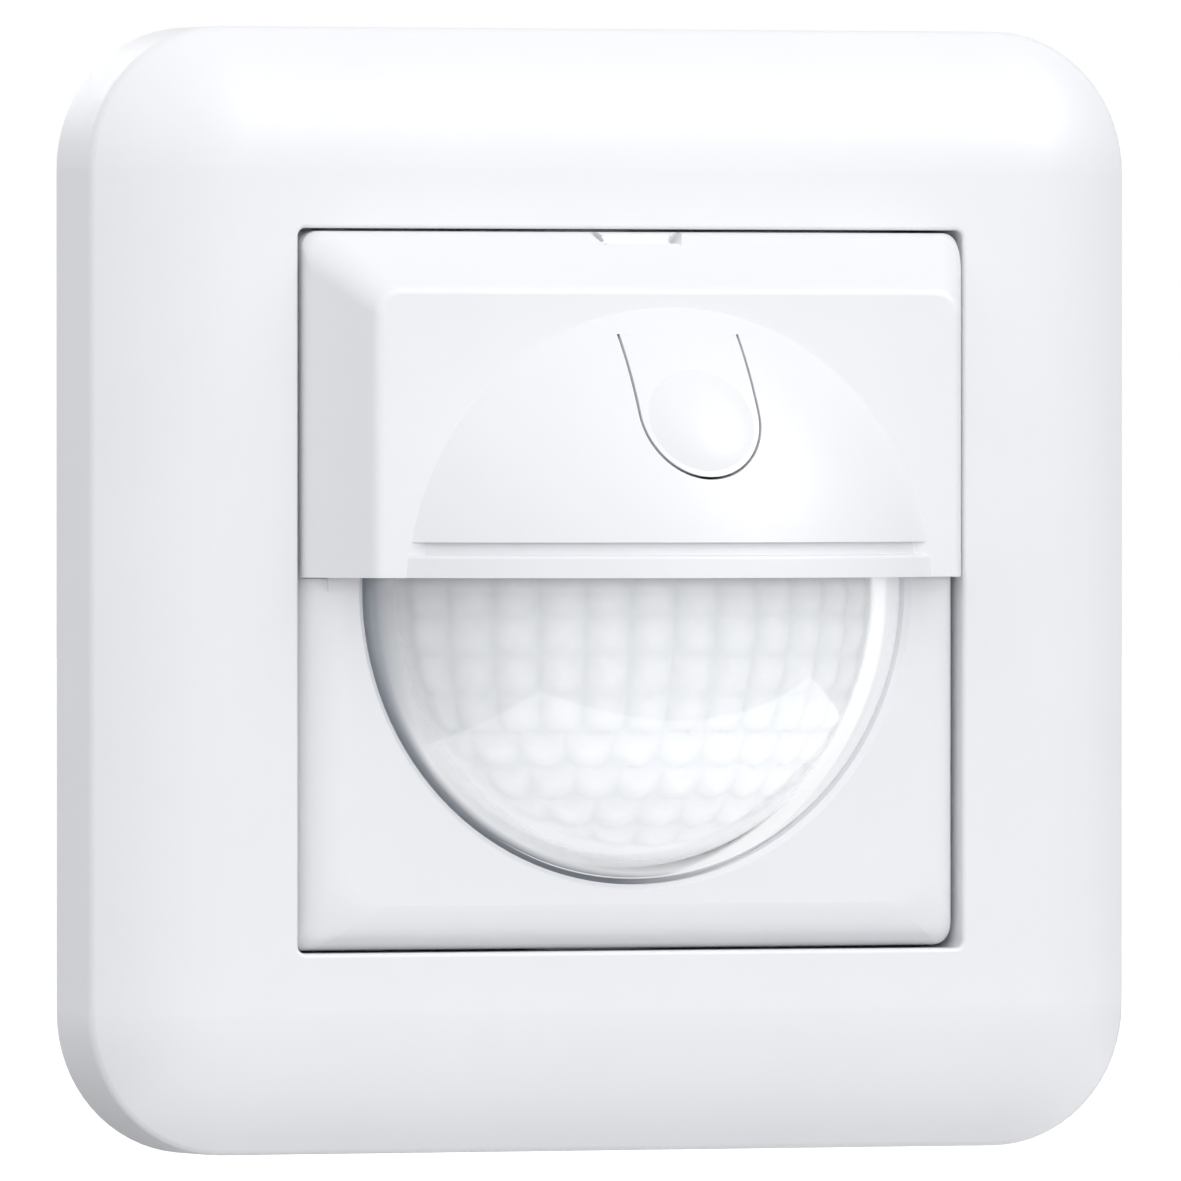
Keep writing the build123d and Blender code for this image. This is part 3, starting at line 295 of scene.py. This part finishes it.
MATERIALS = {
    "white_cover": moulded("cover_white", (0.868, 0.874, 0.894), 0.40, 0.05, 0.10, 0.0016, 0.008),
    "white_inner": moulded("inner_white", (0.74, 0.745, 0.74), 0.45, 0.06, 0.16, 0.003, 0.02),
    "zinc_steel": plated("zinc", (0.66, 0.67, 0.69), (0.72, 0.70, 0.62), 0.30, (0.06, 1, 1), 0.006, 5.0),
    "screw_steel": plated("screw", (0.70, 0.70, 0.70), (0.76, 0.72, 0.60), 0.25, (1, 0.15, 1), 0.004, 2.0),
    "grey_shell": moulded("shell_grey", (0.085, 0.09, 0.10), 0.48, 0.07, 0.22, 0.010, 0.06),
    "grey_block": moulded("block_grey", (0.30, 0.31, 0.32), 0.45, 0.06, 0.16, 0.005, 0.04),
    "key_plastic": moulded("key_orange", (0.72, 0.17, 0.02), 0.36, 0.06, 0.14, 0.004, 0.05),
    "contact_brass": plated("brass", (0.80, 0.58, 0.24), (0.72, 0.46, 0.18), 0.24, (1, 0.1, 1), 0.004, 2.5),
    "board": printed_board("circuit_board"),
    "black_plastic": moulded("plastic_black", (0.018, 0.018, 0.020), 0.40, 0.08, 0.18, 0.006, 0.10),
    "relay_case": moulded("relay_blue", (0.03, 0.09, 0.33), 0.24, 0.05, 0.30, 0.003, 0.05, coat=0.3),
    "film_case": moulded("film_yellow", (0.62, 0.42, 0.05), 0.28, 0.06, 0.30, 0.004, 0.05, coat=0.2),
    "can_sleeve": sleeved("sleeve", (0.012, 0.016, 0.05), (0.55, 0.57, 0.60)),
    "varistor_coat": moulded("varistor_blue", (0.02, 0.09, 0.28), 0.22, 0.06, 0.5, 0.03, 0.08, coat=0.6),
    "copper_wire": wound("enamelled_copper", (0.62, 0.24, 0.09)),
    "fuse_tube": moulded("fuse_ceramic", (0.70, 0.66, 0.58), 0.35, 0.06, 0.4, 0.006, 0.05),
    "sensor_can": plated("nickel", (0.72, 0.72, 0.72), (0.76, 0.74, 0.69), 0.18, (1, 0.2, 1), 0.002, 1.6),
    "dark_window": silicon_filter("silicon"),
    "clear_resin": clear_epoxy("epoxy_clear", (0.82, 0.85, 0.86), 0.45),
    "led_resin": clear_epoxy("epoxy_red", (0.62, 0.03, 0.02), 0.75, 0.2),
    "rod_plastic": moulded("rod_white", (0.76, 0.76, 0.73), 0.42, 0.06, 0.16, 0.003, 0.02),
    "trimmer_blue": moulded("trimmer_blue", (0.03, 0.11, 0.32), 0.34, 0.06, 0.14, 0.004, 0.06),
    "dial_plastic": moulded("dial_grey", (0.20, 0.21, 0.23), 0.44, 0.06, 0.14, 0.005, 0.05),
}


def dress_nodes():
    """Gives each CAD node the material of its slot in the record."""
    for part in frame["record"]["subparts"]:
        mesh = nodes[part["node"]].data
        mesh.materials.clear()
        mesh.materials.append(MATERIALS[part["material_slot"]])


# ---------------------------------------------------------------- mesh helper
def link_mesh(bm, name, *materials):
    """Turns a finished bmesh into an object of the scene."""
    mesh = bpy.data.meshes.new(name)
    bm.to_mesh(mesh)
    bm.free()
    for material in materials:
        mesh.materials.append(material)
    made = bpy.data.objects.new(name, mesh)
    bpy.context.scene.collection.objects.link(made)
    return made


# ------------------------------------------------------------------------ lens
# Sizes in millimetres, about the centre of the ball that the lens is cut from.
LENS_BALL = 24.2
LENS_WALL = 0.8
BALL_CENTRE_Y = 1.5
SKIRT_OUT = 20.8
SKIRT_IN = SKIRT_OUT - LENS_WALL
FLANGE_R = 21.9
FLANGE_FRONT = -9.5
FLANGE_THICK = 0.8
LENS_CUT_Z = 2.55
LENSLET_DEPTH = 0.62
LENSLET_FLOOR = 0.66
LENS_FIELD_EDGE = radians(54.5)
LENS_FIELD_FADE = radians(2.5)
# Lenslet rows go down from just under the horizon. Below the upper rows each row has its own pitch.
LENS_PITCH_UP = 7.2
LENS_FIRST_ROW = -0.9
UPPER_ROWS = 4
COLUMN_PITCH = (8.4, 8.4, 8.4, 8.4, 9.8, 9.8, 11.5, 13.0, 15.0)
COLUMN_SHIFT = 1.0
STAGGER = 2.0
SCALLOP = 0.10


def lenslet_height(x, y, z, radius):
    """Height of the lenslet pattern: rows by latitude, columns by longitude, soft cushions."""
    latitude = degrees(asin(max(-1.0, min(1.0, z / radius))))
    longitude = degrees(atan2(x, -y))
    row_place = (LENS_FIRST_ROW - latitude) / LENS_PITCH_UP
    row = min(max(round(row_place), 0), len(COLUMN_PITCH) - 1)
    upper = row < UPPER_ROWS
    shift = COLUMN_SHIFT if upper else COLUMN_SHIFT + STAGGER * (row % 2)
    column_place = (longitude - shift) / COLUMN_PITCH[row]
    across_column = column_place - round(column_place)
    dip = 0.0 if upper else SCALLOP * cos(2 * pi * across_column)
    across_row = row_place - row - dip
    row_groove, column_groove = (0.55, 1.0) if upper else (1.0, 0.8)
    row_part = 1.0 - row_groove * min(1.0, abs(2 * across_row)) ** 2
    column_part = 1.0 - column_groove * min(1.0, abs(2 * across_column)) ** 2
    return LENSLET_DEPTH * row_part * column_part


def turned_ring(bm, radius, y, count):
    """One ring of vertices about the axis through the front of the lens."""
    turns = [2 * pi * i / count for i in range(count)]
    return [bm.verts.new(Vector((radius * cos(t), y, radius * sin(t))) * MM) for t in turns]


def lenslet_ring(bm, cell, angle, count):
    """One ring of the inner face, raised by the lenslets, with their height kept in the cell layer."""
    inner_ball = LENS_BALL - LENS_WALL
    fade = max(0.0, min(1.0, (LENS_FIELD_EDGE - angle) / LENS_FIELD_FADE))
    ring = []
    for i in range(count):
        turn = 2 * pi * i / count
        base = Vector((sin(angle) * cos(turn), -cos(angle), sin(angle) * sin(turn)))
        lift = fade * lenslet_height(*(base * inner_ball), inner_ball)
        spot = base * (inner_ball - LENSLET_FLOOR + lift)
        vertex = bm.verts.new(Vector((spot.x, spot.y + BALL_CENTRE_Y, spot.z)) * MM)
        vertex[cell] = 1.0 - fade + lift / LENSLET_DEPTH
        ring.append(vertex)
    return ring


def build_lens(steps=92, count=420):
    """Domed lens: smooth ball outside, lenslets inside, skirt and foot flange."""
    bm = bmesh.new()
    cell = bm.verts.layers.float.new("cell")
    inner_ball = LENS_BALL - LENS_WALL
    outer_edge = asin(SKIRT_OUT / LENS_BALL)
    inner_edge = asin(SKIRT_IN / inner_ball)
    flange_back = FLANGE_FRONT + FLANGE_THICK
    outer = [outer_edge * i / steps for i in range(1, steps + 1)]
    profile = [(LENS_BALL * sin(a), BALL_CENTRE_Y - LENS_BALL * cos(a)) for a in outer]
    profile += [(SKIRT_OUT, FLANGE_FRONT), (FLANGE_R, FLANGE_FRONT), (FLANGE_R, flange_back),
                (SKIRT_IN, flange_back)]
    rings = [turned_ring(bm, radius, y, count) for radius, y in profile]
    rings += [lenslet_ring(bm, cell, inner_edge * i / steps, count) for i in range(steps, 0, -1)]
    for a, b in zip(rings, rings[1:]):
        for k in range(count):
            n = (k + 1) % count
            bm.faces.new((a[k], a[n], b[n], b[k]))
    tip_out = bm.verts.new(Vector((0, BALL_CENTRE_Y - LENS_BALL, 0)) * MM)
    lift = lenslet_height(0, -inner_ball, 0, inner_ball)
    tip_in = bm.verts.new(Vector((0, BALL_CENTRE_Y - (inner_ball - LENSLET_FLOOR + lift), 0)) * MM)
    tip_in[cell] = lift / LENSLET_DEPTH
    for k in range(count):
        n = (k + 1) % count
        bm.faces.new((rings[0][n], rings[0][k], tip_out))
        bm.faces.new((rings[-1][k], rings[-1][n], tip_in))
    paint_lens_faces(bm)
    cut_lens_top(bm)
    bmesh.ops.recalc_face_normals(bm, faces=bm.faces[:])
    return link_mesh(bm, "lens_dome", MATERIALS["lens_film"], lens_inside())


def paint_lens_faces(bm):
    """Skin material on the outside and the foot, inside material on the lenslets."""
    centre = Vector((0, BALL_CENTRE_Y * MM, 0))
    skin_from = (LENS_BALL - LENS_WALL + 0.35) * MM
    for face in bm.faces:
        face.smooth = True
        middle = sum((v.co for v in face.verts), Vector()) / len(face.verts)
        skin = (middle - centre).length > skin_from or middle.y > FLANGE_FRONT * MM
        face.material_index = 0 if skin else 1


def cut_lens_top(bm):
    """Cuts the lens off flat under the hood and closes the cut."""
    geometry = bm.verts[:] + bm.edges[:] + bm.faces[:]
    cut = bmesh.ops.bisect_plane(bm, geom=geometry, plane_co=(0, 0, LENS_CUT_Z * MM), plane_no=(0, 0, 1),
                                 clear_outer=True)
    border = [e for e in cut["geom_cut"] if isinstance(e, bmesh.types.BMEdge)]
    fill = bmesh.ops.triangle_fill(bm, edges=border, use_beauty=True)
    for item in fill["geom"]:
        if isinstance(item, bmesh.types.BMFace):
            item.smooth = False
            item.material_index = 0


def from_front(tree):
    """How far the outward direction leans to the front, 1 at the nose of the lens, and its x share."""
    at = add(tree, "SeparateXYZ", {"Vector": place(tree)})
    depth = math(tree, "DIVIDE", math(tree, "SUBTRACT", BALL_CENTRE_Y, at.outputs["Y"]), LENS_BALL)
    return depth, math(tree, "DIVIDE", at.outputs["X"], LENS_BALL)


def ramp(tree, value, stops):
    """Colour ramp from (place, colour with alpha) stops."""
    made = add(tree, "ValToRGB", {"Fac": value})
    made.color_ramp.interpolation = "EASE"
    points = made.color_ramp.elements
    while len(points) < len(stops):
        points.new(0.5)
    for point, (spot, colour) in zip(points, stops):
        point.position = spot
        point.color = colour
    return made.outputs["Color"], made.outputs["Alpha"]


def lens_skin():
    """Outer skin: polished see-through polyethylene, milk white round its border and at grazing angles;
    painted shade on the left, the rim and the outline, and painted glow.
    """
    material, tree = new_material("lens_skin")
    at = place(tree)
    ripple = noise(tree, at, 5.0, 1.0)
    normal = bump(tree, ripple, 0.01)
    see = add(tree, "BsdfTransparent", {"Color": (0.985, 0.988, 0.99, 1.0)})
    depth, across = from_front(tree)
    border = spread(tree, depth, 1.0, 0.12, 0.53, 0.61)
    cloud = noise(tree, at, 1.5, 2.0)
    # painted shade: the grey the border takes where it lies in shade, on its left and along its rim
    dark = mix(tree, cloud, (0.28, 0.30, 0.33), (0.32, 0.34, 0.37))
    pale = mix(tree, cloud, (0.88, 0.89, 0.905), (0.92, 0.925, 0.935))
    # painted light and shade: the border runs from the painted shade grey on the left to the lit pale milk
    # on the right
    lean = math(tree, "ADD", math(tree, "MULTIPLY", across, 0.6), depth)
    border_milk_and_shade = mix(tree, spread(tree, lean, 0.0, 1.0, 0.02, 0.13), dark, pale)
    # painted shade: a dark line along the very rim, on the left and at the bottom, where the gap round the
    # lens is in shade
    rim_shade = math(tree, "MULTIPLY", spread(tree, depth, 1.0, 0.0, 0.515, 0.542),
               spread(tree, across, 1.0, 0.0, -0.05, 0.35))
    border_milk_and_shade = mix(tree, rim_shade, border_milk_and_shade, dark)
    milk_and_glow = add(tree, "BsdfDiffuse", {"Color": border_milk_and_shade})
    # painted glow: the border gives off light in its own colour, standing in for light coming through the
    # plastic
    shine_through = add(tree, "Emission", {"Color": border_milk_and_shade, "Strength": 0.20})
    milk_and_glow = add(tree, "AddShader", {0: milk_and_glow.outputs[0], 1: shine_through.outputs[0]})
    body = add(tree, "MixShader", {0: border, 1: see.outputs[0], 2: milk_and_glow.outputs[0]})
    facing = add(tree, "LayerWeight", {"Blend": 0.5}).outputs["Facing"]
    # partly real milkiness at grazing angles, partly painted: a painted glow over most of the edge layer and
    # painted shade darkening it towards the outline of the dome
    grazing_shade_and_glow, grazing_share = ramp(tree, facing, [
        (0.56, (0.97, 0.97, 0.98, 0.0)), (0.60, (0.98, 0.98, 0.985, 0.95)),
        (0.68, (0.98, 0.98, 0.985, 0.95)), (0.71, (0.89, 0.895, 0.91, 0.8)),
        (0.84, (0.80, 0.81, 0.84, 0.85)), (0.93, (0.36, 0.38, 0.42, 0.95)),
    ])
    edge = add(tree, "BsdfDiffuse", {"Color": grazing_shade_and_glow})
    lit = add(tree, "Emission", {"Color": grazing_shade_and_glow, "Strength": 0.30})
    edge = add(tree, "AddShader", {0: edge.outputs[0], 1: lit.outputs[0]})
    body = add(tree, "MixShader", {0: grazing_share, 1: body.outputs[0], 2: edge.outputs[0]})
    shine = add(tree, "BsdfGlossy", {"Color": (1, 1, 1, 1), "Roughness": 0.05, "Normal": normal})
    fresnel = add(tree, "Fresnel", {"IOR": 1.45, "Normal": normal})
    shader = add(tree, "MixShader", {0: fresnel.outputs[0], 1: body.outputs[0], 2: shine.outputs[0]})
    finish_material(tree, shader)
    return material


def lens_inside():
    """Inner face with the lenslets: milk white, painted shade in the grooves and on a border that darkens
    towards the left, painted glow stronger low down.
    """
    material, tree = new_material("lens_inside")
    at = place(tree)
    depth, across = from_front(tree)
    cloud = noise(tree, at, 1.2, 3.0)
    milk = mix(tree, spread(tree, cloud, 0.0, 1.0), (0.90, 0.905, 0.915), (0.94, 0.945, 0.95))
    crown = add(tree, "Attribute", attribute_name="cell").outputs["Fac"]
    # painted shade in the grooves between the lenslets, darker where the cell height is low
    groove_shade = mix(tree, spread(tree, crown, 0.0, 1.0, 0.0, 0.95), (0.84, 0.85, 0.865), (1, 1, 1))
    # painted shade: the border of the inner face darkens towards the left, where it lies in shade
    left = spread(tree, across, 1.0, 0.0, -0.80, -0.30)
    deep = spread(tree, depth, 1.0, 0.0, 0.50, 0.85)
    shade = math(tree, "MULTIPLY", left, deep, True)
    colour = mix(tree, math(tree, "MULTIPLY", shade, 0.12), milk, (0.52, 0.54, 0.57))
    colour = mix(tree, 0.8, colour, groove_shade, "MULTIPLY")
    # painted glow: the inner face gives off light in its own colour, standing in for light scattered through
    # the dome; stronger low down, weaker in the painted shade on the left
    height = add(tree, "SeparateXYZ", {"Vector": at}).outputs["Z"]
    glow_by_height = spread(tree, height, 0.40, 0.08, -12.0, 1.0)
    lit = math(tree, "SUBTRACT", 1.0, math(tree, "MULTIPLY", shade, 0.3), True)
    glow = math(tree, "MULTIPLY", lit, glow_by_height)
    shader = add(tree, "BsdfPrincipled", {
        "Base Color": colour, "Roughness": 0.4, "Specular IOR Level": 0.3,
        "Emission Color": colour, "Emission Strength": glow,
    })
    finish_material(tree, shader)
    return material


# ---------------------------------------------------------- web of the push button
def build_hinge_web():
    """The thin moulded web that joins the button tongue to the dome along its top edge."""
    dome_r, centre_y, half_width, thick = 27.7, 1.5, 4.52, 0.7
    proud, spread_z = 0.004, 0.06
    hinge_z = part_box("button_tongue")[1].z / MM
    across = 24
    bm = bmesh.new()
    rows = []
    for dz, depth in ((-spread_z, thick), (-spread_z, 0.0), (0.0, 0.0), (spread_z, 0.0), (spread_z, thick)):
        row = []
        for i in range(across + 1):
            x = -half_width + 2 * half_width * i / across
            z = hinge_z + dz
            y = centre_y - sqrt(dome_r**2 - x * x - z * z)
            out = Vector((x, y - centre_y, z)).normalized()
            row.append(bm.verts.new((Vector((x, y, z)) + out * (proud - depth)) * MM))
        rows.append(row)
    loop = rows + [rows[0]]
    for a, b in zip(loop, loop[1:]):
        for i in range(across):
            bm.faces.new((a[i], a[i + 1], b[i + 1], b[i]))
    bm.faces.new([row[0] for row in rows])
    bm.faces.new([row[-1] for row in reversed(rows)])
    bmesh.ops.recalc_face_normals(bm, faces=bm.faces[:])
    web = link_mesh(bm, "hinge_web", MATERIALS["white_cover"])
    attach(web, "hood")


# --------------------------------------------------------------- clamp springs
def round_off(line, times):
    """Cuts the corners of an open line again and again, so that its bends turn smoothly."""
    for _ in range(times):
        cut = [line[0]]
        for a, b in zip(line, line[1:]):
            cut += [a.lerp(b, 0.25), a.lerp(b, 0.75)]
        line = cut + [line[-1]]
    return line


def refine(line, step):
    """Adds points so that none of the line's pieces is longer than the step."""
    fine = [line[0]]
    for a, b in zip(line, line[1:]):
        parts = max(1, round((b - a).length / step))
        fine += [a.lerp(b, (i + 1) / parts) for i in range(parts)]
    return fine


def build_clamp_spring(side):
    """Hairpin strip over one terminal, built in its rest shape; on the real switch its free leg gives way
    when the release key is pressed.
    """
    strip, half_width, step = 0.4 * MM, 2.2 * MM, 0.35 * MM
    low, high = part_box("clamp_springs")
    key_low, key_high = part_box("release_key_" + side)
    x = (key_low.x + key_high.x) / 2
    front, back = low.y + strip / 2, high.y - strip / 2
    bend = 0.28 * (back - front)
    line = [
        Vector((front, low.z)), Vector((front, high.z - bend)), Vector((front + 0.3 * bend, high.z - strip)),
        Vector((front + 1.2 * bend, high.z - strip)), Vector((back, low.z + 1.5 * MM)),
    ]
    line = refine(round_off(line, 3), step)
    bm = bmesh.new()
    sections = []
    for i, spot in enumerate(line):
        along = (line[min(i + 1, len(line) - 1)] - line[max(i - 1, 0)]).normalized()
        out = Vector((-along.y, along.x)) * strip / 2
        corners = ((-half_width, out), (half_width, out), (half_width, -out), (-half_width, -out))
        sections.append([bm.verts.new((x + dx, spot.x + off.x, spot.y + off.y)) for dx, off in corners])
    for a, b in zip(sections, sections[1:]):
        for k in range(4):
            bm.faces.new((a[k], a[(k + 1) % 4], b[(k + 1) % 4], b[k]))
    bm.faces.new(sections[0])
    bm.faces.new(list(reversed(sections[-1])))
    bmesh.ops.recalc_face_normals(bm, faces=bm.faces[:])
    spring = link_mesh(bm, "clamp_spring_" + side, MATERIALS["zinc_steel"])
    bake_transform(spring)
    return spring


# ----------------------------------------------------------------------- studio
FLOOR_DROP = 0.022
LIGHTS_AWAY = 1.2
CAMERA_AZIMUTH = radians(-22.8)
CAMERA_AWAY = 1.67
CAMERA_HEIGHT = 0.011
CAMERA_LENS = 702.5


def area_light(name, spot, target, width, height, radiance, diffuse=True, glossy=True):
    """A soft box that shows in reflections, aimed at a point."""
    light = bpy.data.lights.new(name, "AREA")
    light.shape = "RECTANGLE"
    light.size = width
    light.size_y = height
    light.energy = radiance * pi * width * height
    lamp = bpy.data.objects.new(name, light)
    lamp.location = spot
    lamp.rotation_mode = "QUATERNION"
    lamp.rotation_quaternion = (Vector(target) - Vector(spot)).to_track_quat("-Z", "Y")
    bpy.context.scene.collection.objects.link(lamp)
    lamp.visible_camera = False
    lamp.visible_diffuse = diffuse
    lamp.visible_glossy = glossy
    lamp.visible_transmission = False
    return lamp


def direction(azimuth, elevation):
    """Unit vector away from the object. Azimuth 0 is in front, 90 to the right."""
    a, e = radians(azimuth), radians(elevation)
    return Vector((sin(a) * cos(e), -cos(a) * cos(e), sin(e)))


def studio_world():
    """White surroundings, brightest in front, with a dimmer patch high on the left."""
    world = bpy.data.worlds.new("studio")
    bpy.context.scene.world = world
    world.use_nodes = True
    tree = world.node_tree
    tree.nodes.clear()
    toward = add(tree, "TexCoord").outputs["Generated"]
    where = add(tree, "SeparateXYZ", {"Vector": toward})
    left = math(tree, "MULTIPLY", where.outputs["X"], -0.10)
    ahead = math(tree, "MULTIPLY", math(tree, "MINIMUM", where.outputs["Y"], 0.25), -0.66)
    flag = add(tree, "VectorMath", {0: toward, 1: direction(-35, 50)}, operation="DOT_PRODUCT")
    shade = math(tree, "POWER", math(tree, "MAXIMUM", flag.outputs["Value"], 0.0), 6.0)
    level = math(tree, "ADD", math(tree, "ADD", left, ahead), 0.965)
    level = math(tree, "SUBTRACT", level, math(tree, "MULTIPLY", shade, 0.45))
    path = add(tree, "LightPath")
    light = add(tree, "Background", {"Color": (0.982, 0.99, 1.0, 1.0), "Strength": level})
    plain = add(tree, "Background", {"Color": (1, 1, 1, 1), "Strength": 1.0})
    seen = path.outputs["Is Camera Ray"]
    shader = add(tree, "MixShader", {0: seen, 1: light.outputs[0], 2: plain.outputs[0]})
    out = tree.nodes.new("ShaderNodeOutputWorld")
    tree.links.new(shader.outputs[0], out.inputs["Surface"])


def floor_material():
    """Pale sweep: white to the eye away from the soft shadow, and dimmer in its bounce light."""
    material, tree = new_material("floor_pale")
    cloud = noise(tree, place(tree), 90.0, 3.0)
    seen = add(tree, "LightPath").outputs["Is Camera Ray"]
    pale = mix(tree, cloud, (0.88, 0.88, 0.885), (0.91, 0.91, 0.915))
    colour = mix(tree, seen, (0.40, 0.40, 0.405), pale)
    diffuse = add(tree, "BsdfDiffuse", {"Color": colour})
    glow = add(tree, "Emission", {"Color": (1, 1, 1, 1), "Strength": math(tree, "MULTIPLY", seen, 0.30)})
    finish_material(tree, add(tree, "AddShader", {0: diffuse.outputs[0], 1: glow.outputs[0]}))
    return material


def build_stage():
    """Floor, surroundings and soft boxes."""
    bm = bmesh.new()
    bmesh.ops.create_circle(bm, cap_ends=True, radius=6.0, segments=96)
    floor = link_mesh(bm, "floor", floor_material())
    floor.location = (0, 0, cad_low.z - FLOOR_DROP)
    studio_world()
    middle = (0, 0, 0)
    area_light("key", direction(42, 30) * LIGHTS_AWAY, middle, 0.55, 0.5, 9.0, diffuse=False)
    area_light("front", direction(12, 0) * LIGHTS_AWAY, middle, 0.5, 0.45, 4.2, glossy=False)
    area_light("back", direction(190, 25) * LIGHTS_AWAY, middle, 0.7, 0.5, 1.6)
    lower = Vector((0.042, -0.022, cad_low.z - 0.016))
    panel = area_light("lower", lower, lower + Vector((0, 0, 1)), 0.20, 0.085, 1.9, diffuse=False)
    panel.rotation_quaternion = Matrix.Rotation(radians(8), 3, "Z").to_quaternion() @ \
        Matrix.Rotation(pi, 3, "X").to_quaternion()


def build_camera():
    """Long lens in front and to the left, level with the middle of the object."""
    away = Vector((sin(CAMERA_AZIMUTH), -cos(CAMERA_AZIMUTH), 0))
    right = Vector((cos(CAMERA_AZIMUTH), sin(CAMERA_AZIMUTH), 0))
    data = bpy.data.cameras.new("camera")
    data.sensor_width = 36.0
    data.lens = CAMERA_LENS
    data.clip_start, data.clip_end = 0.05, 50.0
    camera = bpy.data.objects.new("camera", data)
    camera.location = away * CAMERA_AWAY + Vector((0, 0, CAMERA_HEIGHT))
    target = right * 0.0010 + Vector((0, 0, -0.00009))
    camera.rotation_mode = "QUATERNION"
    camera.rotation_quaternion = (target - camera.location).to_track_quat("-Z", "Y")
    bpy.context.scene.collection.objects.link(camera)
    bpy.context.scene.camera = camera


MATERIALS["lens_film"] = lens_skin()
dress_nodes()
lens = build_lens()
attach(lens, "sensor_module")
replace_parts(lens, "lens")
build_hinge_web()
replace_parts(build_clamp_spring("left"), "clamp_springs")
build_clamp_spring("middle")
build_clamp_spring("right")
build_stage()
build_camera()
bpy.context.scene.view_settings.view_transform = "Standard"
